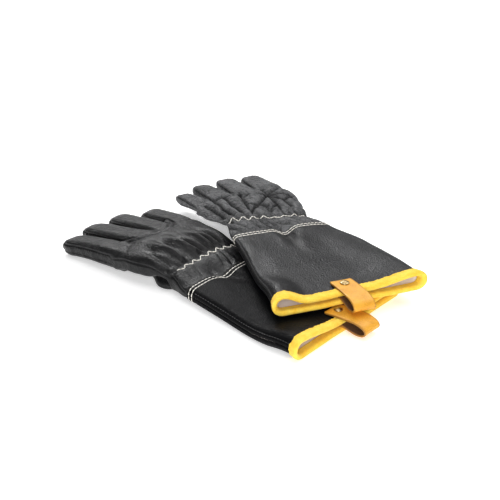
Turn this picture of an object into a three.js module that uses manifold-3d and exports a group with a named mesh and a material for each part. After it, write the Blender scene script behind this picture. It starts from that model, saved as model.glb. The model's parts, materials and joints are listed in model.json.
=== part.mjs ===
// A pair of heat resistant gauntlet gloves, lying palm down with the left glove across the cuff of the right.
// Each glove is a leather hand with four fingers and a thumb folded under the palm, a flared leather cuff,
// a textile lining, a bound mouth, an elasticated wrist and a riveted hanging strap.
//
// Units are millimetres and +Z is up. A glove is drawn in its own frame: x runs from the cuff's mouth to the
// fingertips, y points to the thumb's side, and z is the height above the table it lies on.
import * as THREE from "three";
import { mergeVertices } from "three/addons/utils/BufferGeometryUtils.js";
import Module from "manifold-3d";

const wasm = await Module();
wasm.setup();

// ---- driving dimensions ----
const CUFF_LENGTH = 152; // mouth edge to the seam at the wrist
const MOUTH_HALF = 89.5; // half widths, laid flat
const WRIST_HALF = 57.5;
const WAIST_X = 182; // where the elastic gathers the wrist
const WAIST_HALF = 51;
const PALM_X = 236;
const PALM_HALF = 58.5;
const KNUCKLE_X = 264; // the line that the fingers bend about
const KNUCKLE_HALF = 57.5;

const LEATHER = 1.3; // sheet thicknesses
const LINING = 1.0;
const BINDING = 1.0;
const FINGER_WALL = 2.6; // leather and lining together
const GAP = 0.3; // left between two sheets that touch
const SLOT = 1.6; // room between shell and lining for the elastic and the turned seam

const LIP_HALF = 6; // half thickness of the flattened cuff at the middle of its mouth
const LOOP_HALF = 12.4; // and at the loops either side of it
const PRESSED_LOOP_HALF = 5.2; // a loop that lies under the other glove
const LOOP_START = 22; // the mouth keeps its section to here, so that the strap lies flat
const LOOP_LENGTH = 44; // and the loops close over this length
const CUFF_HALF = 8; // half thickness beyond them
const BINDING_WIDTH = 8.6;
const REST = GAP + BINDING; // height of the cuff's skin over the table, which its binding lies on

const FOLD = THREE.MathUtils.degToRad(39); // half the notch that lets a finger curl
const THUMB_HINGE = new THREE.Vector2(198, 38);
const THUMB_LENGTH = 54;
const THUMB_TURN = THREE.MathUtils.degToRad(-19);
const THUMB_HOLE = 10;
const THUMB_WALL = 1.8;

const RING_STEP = 15; // degrees between the corners of the hand's and cuff's sections
const SIDE_SEAM = 0.2; // degrees left between a panel's edge and the middle of the side
const FINGER_STEP = 30;
const STRIP = 29; // degrees of a finger's section that a side strip covers, either way from its middle
const ZIGZAG_PERIOD = 12;
const ZIGZAG_PROUD = 1; // its straight runs bridge the hollows of the gathered leather
const THREAD = 0.7;

// Where each sheet has its rings of corners: along the cuff in millimetres, elsewhere as shares of the length.
const WAIST_SHARE = (WAIST_X - CUFF_LENGTH) / (KNUCKLE_X - CUFF_LENGTH);
const ELASTIC_STATIONS = [WAIST_SHARE - 0.05, WAIST_SHARE + 0.05];
const ZIGZAG_STATIONS = [WAIST_SHARE - 0.005, WAIST_SHARE + 0.005];
const CUFF_STATIONS = [0, BINDING_WIDTH, LOOP_START, 50, 82, 118, CUFF_LENGTH - GAP];
const HAND_STATIONS = [0, 0.12, ...ELASTIC_STATIONS, 0.44, 0.58, 0.74, 0.88, 1];
const FINGER_STATIONS = [0, 0.4, 0.72, 0.86, 0.94, 0.985];
const THUMB_STATIONS = [0.015, 0.1, 0.2, 0.75, 0.88, 0.985];

const STRAP_WIDTH = 25;
const STRAP_HALF_THICK = 1.1;
const RIVET_X = 12.5;
const RIVET_SHANK = 2;
const RIVET_HOLE = 2.4;

// base and tip are the finger's middle across the glove; half is its half width at the knuckle
const FINGERS = [
  { name: "index", base: 43.2, tip: 48.5, length: 77, half: 13.4, strips: [-1] },
  { name: "middle", base: 14.5, tip: 15.2, length: 81, half: 13.6, strips: [-1, 1] },
  { name: "ring", base: -14.4, tip: -19, length: 75, half: 13.3, strips: [-1, 1] },
  { name: "little", base: -42.4, tip: -51, length: 56, half: 12.6, strips: [1] },
];

// ---- small helpers ----
const smooth = (t) => {
  const c = THREE.MathUtils.clamp(t, 0, 1);
  return c * c * (3 - 2 * c);
};
const mix = THREE.MathUtils.lerp;
const rad = THREE.MathUtils.degToRad;

// A smooth curve through [x, value] pairs.
function through(pairs) {
  return (x) => {
    if (x <= pairs[0][0]) return pairs[0][1];
    for (let i = 1; i < pairs.length; i++) {
      const [x0, a] = pairs[i - 1];
      const [x1, b] = pairs[i];
      if (x <= x1) return mix(a, b, smooth((x - x0) / (x1 - x0)));
    }
    return pairs[pairs.length - 1][1];
  };
}

// A rounded-rectangle outline of half sizes 1: the point at an angle, flattened at its top and bottom.
function roundedOutline(angle, power, flat = 1.06) {
  const c = Math.cos(angle);
  const s = Math.sin(angle);
  const across = Math.sign(c) * Math.abs(c) ** (2 / power);
  const up = Math.sign(s) * Math.abs(s) ** (2 / power);
  return [across, THREE.MathUtils.clamp(up * flat, -1, 1)];
}

// ---- the shape of a glove, shared by its sheets ----
const handHalf = through([
  [CUFF_LENGTH, WRIST_HALF],
  [WAIST_X, WAIST_HALF],
  [PALM_X, PALM_HALF],
  [KNUCKLE_X, KNUCKLE_HALF],
]);
const handThick = through([
  [CUFF_LENGTH, 8],
  [WAIST_X, 8],
  [218, 10.3],
  [KNUCKLE_X, 10],
]);
const handHeight = through([
  [CUFF_LENGTH, 12],
  [WAIST_X, 19.5],
  [212, 25.5],
  [238, 25],
  [KNUCKLE_X, 19.5],
]);
const ROLL = 0.025; // the little finger's side of the hand lies lower
const rollAt = (x) => ROLL * smooth((x - CUFF_LENGTH) / 60);

const cuffHalf = (x) => mix(MOUTH_HALF, WRIST_HALF, (x / CUFF_LENGTH) ** 0.87);

// Where a point of the cuff is: x along the glove, an angle round the section, and a depth under the skin.
function cuffPoint(glove, x, angle, depth) {
  const [across, up] = roundedOutline(angle, 3);
  const loop = across > 0 ? glove.thumbLoop : glove.littleLoop;
  const toSide = smooth((Math.abs(across) - 0.41) / 0.45);
  const mouth = mix(LIP_HALF, loop, toSide);
  const toWrist = smooth((x - LOOP_START - LOOP_LENGTH) / (CUFF_LENGTH - LOOP_START - LOOP_LENGTH));
  const beyond = mix(CUFF_HALF, handThick(CUFF_LENGTH), toWrist);
  const half = mix(mouth, beyond, smooth((x - LOOP_START) / LOOP_LENGTH));
  const middle = mix(REST + half, handHeight(CUFF_LENGTH), toWrist);
  const y = (cuffHalf(Math.max(x, 0)) - depth) * across;
  const z = middle + (half - depth) * up;
  return new THREE.Vector3(x, y, z + glove.lift(x, y));
}

// The hand runs from the cuff's seam, share 0, to the knuckles, share 1, where a notch opens under the hinge.
function handPoint(glove, share, angle, depth) {
  const [across, up] = roundedOutline(angle, 3.2);
  const notch = GAP + Math.max(0, -(handThick(KNUCKLE_X) - depth) * up) * Math.tan(FOLD);
  const x = mix(CUFF_LENGTH + GAP, KNUCKLE_X - notch, share);
  const y = (handHalf(x) - depth) * across;
  const z = handHeight(x) + rollAt(x) * y + (handThick(x) - depth) * up;
  return new THREE.Vector3(x, y, z + glove.lift(x, y));
}

// A finger in the frame of its own hinge; share 1 is the tip.
const FINGER_THICK = 9.8;
const TIP_THICK = 8;
const TIP_ROUND = 13;
function fingerPoint(finger, share, angle, depth) {
  const [across, up] = roundedOutline(angle, 2.8);
  const start = 0.6 + Math.max(0, -(FINGER_THICK - depth) * up) * Math.tan(FOLD);
  const x = mix(start, finger.length - depth, share);
  const along = x / finger.length;
  const toEnd = Math.max(0, (x - (finger.length - depth - TIP_ROUND)) / TIP_ROUND);
  const round = Math.sqrt(Math.max(0, 1 - toEnd ** 2.4));
  const half = mix(finger.half, finger.half - 0.9, along);
  const thick = mix(FINGER_THICK, TIP_THICK, along);
  const y = (finger.tip - finger.base) * along + Math.max(0.4, (half - depth) * round) * across;
  const z = -finger.drop * along + Math.max(0.4, (thick - depth) * round) * up;
  return new THREE.Vector3(x, y, z);
}

// The thumb in the frame of its hinge, with a round heel about the hinge's axis.
const THUMB_HALF = 14;
const THUMB_THICK = 5.4;
const THUMB_TIP_THICK = 4.4;
const THUMB_FLOOR = 0.6; // height of its lower face over the table
function thumbPoint(share, angle, depth) {
  const [across, up] = roundedOutline(angle, 2.6);
  const heel = THUMB_HALF - depth;
  const x = mix(-heel, THUMB_LENGTH - depth, share);
  const toHeel = Math.max(0, -x / heel);
  const toEnd = Math.max(0, (x - (THUMB_LENGTH - depth - TIP_ROUND)) / TIP_ROUND);
  const round = Math.sqrt(Math.max(0, 1 - Math.max(toHeel, toEnd) ** 2.2));
  const half = mix(THUMB_HALF, 11.5, Math.max(0, x) / THUMB_LENGTH);
  const thick = mix(THUMB_THICK, THUMB_TIP_THICK, Math.max(0, x) / THUMB_LENGTH);
  const y = Math.max(0.4, (half - depth) * round) * across;
  const z = THUMB_FLOOR + thick + Math.max(0.3, (thick - depth) * round) * up;
  return new THREE.Vector3(x, y, z);
}

// ---- solids ----
// The angles of a sweep in degrees: both ends, and the whole steps between them, so that sheets that lie
// one inside the other have their corners at the same places.
function anglesBetween(from, to, step) {
  const first = Math.floor(from / step) + 1;
  const count = Math.ceil(to / step) - first;
  const between = Array.from({ length: count }, (_, i) => (first + i) * step);
  return [from, ...between, to];
}

// Sweeps a closed outline of [share, depth] points round a surface, through angles from..to in degrees.
// A whole turn joins on itself; any other arc, which has a sheet's outline, is closed at each end.
function sweep(surface, outline, from, to, step, mirrored) {
  const whole = to - from === 360;
  const angles = anglesBetween(from, to, step);
  const rows = whole ? angles.length - 1 : angles.length;
  const positions = [];
  for (const angle of angles.slice(0, rows)) {
    for (const [share, depth] of outline) {
      const p = surface(share, rad(angle), depth);
      positions.push(p.x, mirrored ? -p.y : p.y, p.z);
    }
  }
  const n = outline.length;
  const faces = [];
  for (let i = 0; i < angles.length - 1; i++) {
    for (let j = 0; j < n; j++) {
      const next = (j + 1) % n;
      const [a, b] = [i * n + j, i * n + next];
      const [c, d] = [a, b].map((corner) => (corner + n) % (rows * n));
      const backwards = outline[next][0] < outline[j][0];
      if (backwards) faces.push([a, b, c], [b, d, c]);
      else faces.push([a, b, d], [a, d, c]);
    }
  }
  const last = (rows - 1) * n;
  for (let j = 0; j < n / 2 - 1 && !whole; j++) {
    const [a, b, c, d] = [j, j + 1, n - 2 - j, n - 1 - j];
    faces.push([a, d, c], [a, c, b]);
    faces.push([a + last, b + last, c + last], [a + last, c + last, d + last]);
  }
  const geometry = new THREE.BufferGeometry();
  geometry.setAttribute("position", new THREE.Float32BufferAttribute(positions, 3));
  geometry.setIndex(faces.flat());
  return facingOut(geometry);
}

// Turns every face round if the closed geometry encloses a negative volume.
function facingOut(geometry) {
  const p = geometry.getAttribute("position");
  const index = geometry.index.array;
  const [a, b, c] = [new THREE.Vector3(), new THREE.Vector3(), new THREE.Vector3()];
  let volume = 0;
  for (let i = 0; i < index.length; i += 3) {
    a.fromBufferAttribute(p, index[i]);
    b.fromBufferAttribute(p, index[i + 1]);
    c.fromBufferAttribute(p, index[i + 2]);
    volume += a.dot(b.cross(c));
  }
  if (volume < 0) {
    for (let i = 0; i < index.length; i += 3) [index[i + 1], index[i + 2]] = [index[i + 2], index[i + 1]];
  }
  geometry.computeVertexNormals();
  return geometry;
}

// The outline of a sheet between two depths: its skin along the stations, then back along its inner face.
function sheetOutline(stations, outer, inner) {
  const skin = stations.map((share) => [share, outer]);
  const back = stations.toReversed().map((share) => [share, inner]);
  return [...skin, ...back];
}

function toSolid(geometry) {
  const bare = new THREE.BufferGeometry();
  bare.setAttribute("position", geometry.getAttribute("position").clone());
  if (geometry.index) bare.setIndex(geometry.index.clone());
  const merged = mergeVertices(bare, 1e-3);
  const vertProperties = merged.attributes.position.array;
  const triVerts = new Uint32Array(merged.index.array);
  return new wasm.Manifold(new wasm.Mesh({ numProp: 3, vertProperties, triVerts }));
}

function fromSolid(solid) {
  const mesh = solid.getMesh();
  const geometry = new THREE.BufferGeometry();
  geometry.setAttribute("position", new THREE.Float32BufferAttribute(mesh.vertProperties, 3));
  geometry.setIndex(new THREE.BufferAttribute(mesh.triVerts, 1));
  geometry.computeVertexNormals();
  return geometry;
}

// Drills an upright round hole through what a geometry has between two heights.
function drilled(geometry, x, y, radius, from, to) {
  const drill = new THREE.CylinderGeometry(radius, radius, to - from, 16);
  drill.rotateX(Math.PI / 2);
  drill.translate(x, y, (from + to) / 2);
  return fromSolid(toSolid(geometry).subtract(toSolid(drill)));
}

// ---- materials ----
const paint = (color, roughness, metalness = 0) =>
  new THREE.MeshStandardMaterial({ color, roughness, metalness });
const blackLeather = paint(0x1d1e20, 0.45);
const greySuede = paint(0x4a4b4d, 0.85);
const yellowLeather = paint(0xf2b32c, 0.7);
const tanLeather = paint(0xd4943f, 0.6);
const liningCloth = paint(0xd9cfc8, 0.95);
const elasticWeb = paint(0xe4e2dc, 0.9);
const threadWhite = paint(0xe9e7df, 0.7);
const rivetMetal = paint(0x8c8067, 0.35, 1);

// ---- one glove ----
function makeGlove(glove) {
  const group = new THREE.Group();
  const { side, mirrored } = glove;
  const flip = mirrored ? -1 : 1;

  const add = (parent, name, geometry, material) => {
    const mesh = new THREE.Mesh(geometry, material);
    mesh.name = `${side}_${name}`;
    parent.add(mesh);
  };
  const cuff = (x, angle, depth) => cuffPoint(glove, x, angle, depth);
  const hand = (share, angle, depth) => handPoint(glove, share, angle, depth);
  const hingeGroup = (x, y, z) => {
    const joint = new THREE.Group();
    joint.position.set(x, flip * y, z);
    group.add(joint);
    return joint;
  };

  // cuff: two leather panels joined at the side seams, with the lining inside them
  const lip = REST + 2 * LIP_HALF + glove.lift(0, 0);
  const lipDrill = [RIVET_X, 0, RIVET_HOLE, lip - LIP_HALF, lip + LIP_HALF];
  const panel = sheetOutline(CUFF_STATIONS, 0, LEATHER);
  const backPanel = sweep(cuff, panel, SIDE_SEAM, 180 - SIDE_SEAM, RING_STEP, mirrored);
  add(group, "cuff_back_panel", drilled(backPanel, ...lipDrill), blackLeather);
  const palmPanel = sweep(cuff, panel, 180 + SIDE_SEAM, 360 - SIDE_SEAM, RING_STEP, mirrored);
  add(group, "cuff_palm_panel", palmPanel, blackLeather);
  const cuffLiningSheet = sheetOutline(CUFF_STATIONS, LEATHER + GAP, LEATHER + GAP + LINING);
  const cuffLining = sweep(cuff, cuffLiningSheet, 0, 360, RING_STEP, mirrored);
  add(group, "cuff_lining", drilled(cuffLining, ...lipDrill), liningCloth);

  // binding: a strip folded over the mouth's edge, outside, across the end and inside
  const inside = LEATHER + 2 * GAP + LINING + BINDING;
  const fold = [
    [BINDING_WIDTH, -REST],
    [BINDING_WIDTH, -GAP],
    [-GAP, -GAP],
    [-GAP, inside - BINDING],
    [BINDING_WIDTH, inside - BINDING],
    [BINDING_WIDTH, inside],
    [-REST, inside],
    [-REST, -REST],
  ];
  add(group, "cuff_binding", sweep(cuff, fold, 0, 360, RING_STEP, mirrored), yellowLeather);

  // hand: back, palm and lining, with the elastic let in between them at the wrist
  const palm = handHeight(THUMB_HINGE.x) + glove.lift(THUMB_HINGE.x, THUMB_HINGE.y);
  const palmDrill = [THUMB_HINGE.x, flip * THUMB_HINGE.y, THUMB_HOLE, palm - 30, palm];
  const handSheet = sheetOutline(HAND_STATIONS, 0, LEATHER);
  const handPalm = sweep(hand, handSheet, 180 + SIDE_SEAM, 360 - SIDE_SEAM, RING_STEP, mirrored);
  const handBack = sweep(hand, handSheet, SIDE_SEAM, 180 - SIDE_SEAM, RING_STEP, mirrored);
  add(group, "hand_back", handBack, blackLeather);
  add(group, "hand_palm", drilled(handPalm, ...palmDrill), blackLeather);
  const inner = LEATHER + SLOT;
  const handLiningSheet = sheetOutline(HAND_STATIONS, inner, inner + LINING);
  const handLining = sweep(hand, handLiningSheet, 0, 360, RING_STEP, mirrored);
  add(group, "hand_lining", drilled(handLining, ...palmDrill), liningCloth);
  const elastic = sheetOutline(ELASTIC_STATIONS, LEATHER + GAP, inner - GAP);
  add(group, "wrist_elastic", sweep(hand, elastic, 15, 165, RING_STEP, mirrored), elasticWeb);

  // threads: a zigzag that holds the elastic, and two rows round the cuff's seam
  const zigzag = (share, angle, depth) => {
    const turns = THREE.MathUtils.radToDeg(angle) / ZIGZAG_PERIOD;
    const swing = 4 * Math.abs(turns - Math.floor(turns + 0.5)) - 1;
    return hand(share + 0.02 * swing, angle, depth);
  };
  const stitch = sheetOutline(ZIGZAG_STATIONS, -ZIGZAG_PROUD - THREAD, -ZIGZAG_PROUD);
  const zigzagThread = sweep(zigzag, stitch, 12, 168, ZIGZAG_PERIOD / 2, mirrored);
  add(group, "wrist_zigzag_thread", zigzagThread, threadWhite);
  for (const [row, x] of [["outer", CUFF_LENGTH - 3.2], ["inner", CUFF_LENGTH - 6.6]]) {
    const round = sheetOutline([x - THREAD / 2, x + THREAD / 2], -GAP - THREAD, -GAP);
    add(group, `cuff_seam_thread_${row}`, sweep(cuff, round, 0, 360, RING_STEP, mirrored), threadWhite);
  }

  // fingers: back, palm and the side strips that face the next finger
  for (const finger of FINGERS) {
    const hinge = handHeight(KNUCKLE_X) + rollAt(KNUCKLE_X) * finger.base;
    const joint = hingeGroup(KNUCKLE_X, finger.base, hinge);
    const shape = { ...finger, drop: hinge - TIP_THICK - GAP };
    const skin = (share, angle, depth) => fingerPoint(shape, share, angle, depth);
    const outline = sheetOutline(FINGER_STATIONS, 0, FINGER_WALL);
    const sheet = (from, to) => sweep(skin, outline, from, to, FINGER_STEP, mirrored);
    const thumbSide = finger.strips.includes(1) ? STRIP + 1 : 1; // degrees, with one between the sheets
    const littleSide = finger.strips.includes(-1) ? STRIP + 1 : 1;
    add(joint, `${finger.name}_back`, sheet(thumbSide, 180 - littleSide), blackLeather);
    add(joint, `${finger.name}_palm`, sheet(180 + littleSide, 360 - thumbSide), blackLeather);
    for (const way of finger.strips) {
      const name = `${finger.name}_${way > 0 ? "thumb" : "little"}_side_strip`;
      const middle = way > 0 ? 0 : 180;
      add(joint, name, sheet(middle - STRIP, middle + STRIP), blackLeather);
    }
  }

  // thumb: folded under the palm, open at its heel into the hand
  const thumb = hingeGroup(THUMB_HINGE.x, THUMB_HINGE.y, 0);
  thumb.rotation.z = flip * THUMB_TURN;
  const thumbSheet = sheetOutline(THUMB_STATIONS, 0, THUMB_WALL);
  const thumbHalf = (from, to) => sweep(thumbPoint, thumbSheet, from, to, FINGER_STEP, mirrored);
  const thumbTop = drilled(thumbHalf(1, 179), 0, 0, THUMB_HOLE, THUMB_THICK, 40);
  add(thumb, "thumb_back", thumbTop, blackLeather);
  add(thumb, "thumb_palm", thumbHalf(181, 359), blackLeather);

  // hanging strap, and the rivet that holds its two ends on the lip
  const strap = hingeGroup(RIVET_X, 0, lip);
  strap.rotation.x = glove.lipTilt;
  add(strap, "hang_strap", strapBand(), tanLeather);
  add(strap, "rivet_cap", rivetCap(), rivetMetal);
  add(strap, "rivet_shank", rivetShank(), rivetMetal);

  group.position.copy(glove.position);
  group.rotation.z = glove.heading;
  return group;
}

// The strap's path in the rivet's frame, as [x, height over the lip's skin]: outer end, fold, inner end.
function strapBand() {
  const path = new THREE.CatmullRomCurve3(
    [
      [9, 2],
      [0, 2.5],
      [-6, 2.9],
      [-18, 2.9],
      [-29, 2.4],
      [-37.8, -0.6],
      [-41, -4.8],
      [-38, -8.4],
      [-30, -9.2],
      [-21, -7.4],
      [-14, -5.7],
      [-5, -5.5],
      [2, -4.4],
      [9, -4.2],
    ].map(([x, z]) => new THREE.Vector3(x, 0, z)),
  );
  const steps = 24;
  const points = path.getPoints(steps);
  const rim = points.map((p, i) => {
    const tangent = path.getTangent(i / steps);
    return [p, new THREE.Vector2(-tangent.z, tangent.x).multiplyScalar(STRAP_HALF_THICK)];
  });
  const outline = new THREE.Shape([
    ...rim.map(([p, n]) => new THREE.Vector2(p.x + n.x, p.z + n.y)),
    ...rim.toReversed().map(([p, n]) => new THREE.Vector2(p.x - n.x, p.z - n.y)),
  ]);
  const band = new THREE.ExtrudeGeometry(outline, { depth: STRAP_WIDTH, bevelEnabled: false });
  band.rotateX(Math.PI / 2);
  band.translate(0, STRAP_WIDTH / 2, 0);
  return drilled(band, 0, 0, RIVET_HOLE, -20, 20);
}

function rivetCap() {
  const under = 2.5 + STRAP_HALF_THICK + 0.5;
  const profile = [[0, 0], [4.4, 0], [4.7, 0.5], [4.3, 1.1], [2.6, 1.7], [0, 1.9]];
  return turned(profile.map(([r, z]) => new THREE.Vector2(r, z + under)));
}

function rivetShank() {
  const head = -7.2;
  const top = 2.5 + STRAP_HALF_THICK + 0.2;
  const profile = [[0, head], [3.8, head], [4, head + 0.7], [RIVET_SHANK, head + 0.8], [RIVET_SHANK, top], [0, top]];
  return turned(profile.map(([r, z]) => new THREE.Vector2(r, z)));
}

// A lathe about the vertical axis.
function turned(profile) {
  const geometry = new THREE.LatheGeometry(profile, 20);
  geometry.rotateX(Math.PI / 2);
  return geometry;
}

// ---- the pair ----
// The left glove lies over the right glove's cuff, and its hand comes down to the table. Its little finger's
// side is held up by the right glove, most of all at the wrist.
const LEFT_MOUTH_SLOPE = 0.0486;
const leftMiddle = through([
  [CUFF_LENGTH, 17],
  [190, 8],
  [225, 3],
  [256, 0],
]);
const leftSlope = through([
  [0, LEFT_MOUTH_SLOPE],
  [CUFF_LENGTH, 0.105],
  [188, 0.235],
  [225, 0.1],
  [256, 0],
]);
const leftLift = (x, y) => leftMiddle(x) - leftSlope(x) * y;

const right = makeGlove({
  side: "right",
  mirrored: false,
  thumbLoop: LOOP_HALF,
  littleLoop: PRESSED_LOOP_HALF,
  lift: () => 0,
  lipTilt: 0,
  position: new THREE.Vector3(157.16, -61.45, 0),
  heading: Math.PI,
});
const left = makeGlove({
  side: "left",
  mirrored: true,
  thumbLoop: LOOP_HALF,
  littleLoop: LOOP_HALF,
  lift: leftLift,
  lipTilt: Math.atan(LEFT_MOUTH_SLOPE),
  position: new THREE.Vector3(146.26, -43.25, 0),
  heading: rad(154.9),
});

const pair = new THREE.Group();
pair.add(right, left);
export default pair;
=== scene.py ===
"""A pair of heat resistant gauntlet gloves: the looks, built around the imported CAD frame.

Each glove is shaped in its own frame, in millimetres: x runs from the cuff's mouth to the fingertips,
y points to the thumb's side, and z is the height above the table. Glove.place() takes that to the row frame.
"""
import json
import math

import bmesh
import bpy
import numpy as np
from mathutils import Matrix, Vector
from mathutils.bvhtree import BVHTree
from mathutils.kdtree import KDTree


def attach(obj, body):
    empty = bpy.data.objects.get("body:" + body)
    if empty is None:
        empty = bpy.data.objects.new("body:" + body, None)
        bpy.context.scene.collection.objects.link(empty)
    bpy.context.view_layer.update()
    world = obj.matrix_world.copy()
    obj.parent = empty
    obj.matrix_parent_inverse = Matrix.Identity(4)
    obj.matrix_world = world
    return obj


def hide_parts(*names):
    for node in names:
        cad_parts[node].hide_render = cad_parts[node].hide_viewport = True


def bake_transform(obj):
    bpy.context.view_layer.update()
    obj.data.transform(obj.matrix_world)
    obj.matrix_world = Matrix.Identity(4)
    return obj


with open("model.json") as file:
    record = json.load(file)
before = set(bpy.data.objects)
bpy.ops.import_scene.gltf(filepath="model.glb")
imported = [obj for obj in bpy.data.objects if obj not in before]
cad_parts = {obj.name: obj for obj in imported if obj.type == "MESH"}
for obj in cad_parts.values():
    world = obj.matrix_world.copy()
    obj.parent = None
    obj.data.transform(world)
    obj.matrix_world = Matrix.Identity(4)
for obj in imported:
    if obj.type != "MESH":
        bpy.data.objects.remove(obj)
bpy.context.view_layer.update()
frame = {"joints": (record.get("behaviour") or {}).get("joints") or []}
JOINTS = {joint["name"]: joint for joint in frame["joints"]}
MM = 0.001

# ---- driving dimensions in millimetres, as in the CAD; x runs from the mouth ----
CUFF_LENGTH = 152
MOUTH_HALF = 89.5
WRIST_HALF = 57.5
WAIST_X = 182
KNUCKLE_X = 264
RIVET_X = 12.5
LIP_HALF = 6  # half the height of the pressed mouth
PRESSED_LOOP_HALF = 5.2  # the same where the left glove presses on the right one
LOOP_START = 22  # the mouth's open loops close between here
LOOP_LENGTH = 44  # and this much further on
CUFF_HALF = 8
REST = 1.3  # how high the underside lies
LEATHER = 1.3
LINING = 1.0
BINDING = 1.2
BINDING_WIDTH = 8.6
THUMB_HINGE = (198, 38)
THUMB_TURN = -19  # degrees
THUMB_LENGTH = 54
THUMB_HEEL = 19  # the rounded heel's half width, and its reach behind the hinge
THUMB_TIP = 13  # how long the rounded tip is
STRAP_HALF = 12.5
STRAP_HALF_THICK = 1.05
LEFT_TILT = 0.0486  # how the left cuff's mouth leans over the right one

# ---- driving dimensions of the looks, in millimetres ----
THREAD = 0.46  # radius
SEAM_ROWS = (("outer", 149.4), ("inner", 145.0))
SEAM_STEP = 4.4  # from one stitch of a seam row to the next
TOPSTITCH_STEP = 3.4
TOPSTITCH_IN = 5.2  # from the side seam
TOPSTITCH = 0.36  # radius
ZIGZAG_PERIOD = 12.6
ZIGZAG_REACH = 48.5  # half the row's length
ZIGZAG_SWING = {"left": 1.9, "right": 2.9}
THUMB_NECK = {"left": 8.2, "right": 4.2}  # how high the thumb's root rises to meet the palm
FINGER_CUT = 251  # where the hand's leather is divided from the fingers'
BLEND_START = 256  # a span along the fingers starts here
BLEND_END = 286  # and ends here; the script places it but bends nothing over it
FINGER_BACK = 4.4  # from a finger's middle up to its back seam
FINGER_SIDE = 8.6  # and from there down to its palm seam
QUARTER = 64  # points in a quarter of the cuff's section
VOXEL = 0.8
THUMB_VOXEL = 1.2
FINGERTIP = 20  # how long a finger's rounded end is
RIVET_SIDES = 48

FINGERS = {
    "index": {"base": 43.2, "tip": 48.5, "length": 77, "half": 13.9, "strips": ["little"]},
    "middle": {"base": 14.5, "tip": 15.2, "length": 81, "half": 14.0, "strips": ["little", "thumb"]},
    "ring": {"base": -14.4, "tip": -19.0, "length": 75, "half": 13.8, "strips": ["little", "thumb"]},
    "little": {"base": -42.4, "tip": -51.0, "length": 56, "half": 13.2, "strips": ["thumb"]},
}

# How each glove's fingers lie beside the pattern: the tip's shift towards the thumb, how far the middle line
# stands up at the base and the tip, and how much thinner half the finger is at the base and the tip.
LIE = {
    "left": {
        "index": {"drawn": 0, "rise": (0, 0), "slim": (0, 1.2)},
        "middle": {"drawn": 2.5, "rise": (0, 1.5), "slim": (0, 1.2)},
        "ring": {"drawn": 3.5, "rise": (1, 3), "slim": (1, 1.8)},
        "little": {"drawn": 5.3, "rise": (3, 5.5), "slim": (3, 2.4)},
    },
    "right": {
        "index": {"drawn": 0, "rise": (-0.6, 1), "slim": (-1.4, -0.4)},
        "middle": {"drawn": 0, "rise": (1, 1.5), "slim": (-1, -0.4)},
        "ring": {"drawn": -1, "rise": (1.3, 2), "slim": (-1, -0.4)},
        "little": {"drawn": -1, "rise": (1.3, 2), "slim": (-1, -0.4)},
    },
}


# ---- numbers ----
def smooth(t):
    t = np.clip(t, 0, 1)
    return t * t * (3 - 2 * t)


def mix(a, b, t):
    return a + (b - a) * t


def bump(distance, width):
    return np.exp(-((distance / width) ** 2))


def window(x, start, rise, end, fall):
    """1 from start + rise to end - fall, fading to 0 at start and end."""
    return smooth((x - start) / rise) * smooth((end - x) / fall)


def through(x, pairs):
    """A smooth curve through (x, value) pairs."""
    x = np.asarray(x, float)
    result = np.full(x.shape, float(pairs[0][1]))
    for (x0, a), (x1, b) in zip(pairs, pairs[1:]):
        result = np.where(x > x0, mix(a, b, smooth((x - x0) / (x1 - x0))), result)
    return result


def noise(points, size, seed=0):
    """Smooth noise from -1 to 1 whose features are about size across. points is (n, 3)."""
    q = np.asarray(points, float) / size + 31.7 * seed
    cell = np.floor(q).astype(np.int64)
    t = smooth(q - cell)
    total = np.zeros(len(q))
    for corner in np.ndindex(2, 2, 2):
        c = cell + np.array(corner)
        h = (c[:, 0] * 73856093) ^ (c[:, 1] * 19349663) ^ (c[:, 2] * 83492791) ^ (seed * 7919 + 12345)
        h = ((h ^ (h >> 13)) * 1274126177) & 0x7FFFFFFF
        weight = np.prod(np.where(np.array(corner) == 1, t, 1 - t), axis=1)
        total += weight * ((h % 10007) / 5003.0 - 1)
    return total


def to_line(x, y, line):
    """Distance from each (x, y) to a polyline, and how far along it the nearest point is, 0 to 1."""
    best = np.full(x.shape, 1e9)
    along = np.zeros(x.shape)
    lengths = [math.dist(a, b) for a, b in zip(line, line[1:])]
    done = 0.0
    for (a, b), length in zip(zip(line, line[1:]), lengths):
        t = ((x - a[0]) * (b[0] - a[0]) + (y - a[1]) * (b[1] - a[1])) / length**2
        t = np.clip(t, 0, 1)
        d = np.hypot(x - a[0] - t * (b[0] - a[0]), y - a[1] - t * (b[1] - a[1]))
        along = np.where(d < best, (done + t * length) / sum(lengths), along)
        best = np.minimum(best, d)
        done += length
    return best, along


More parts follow.
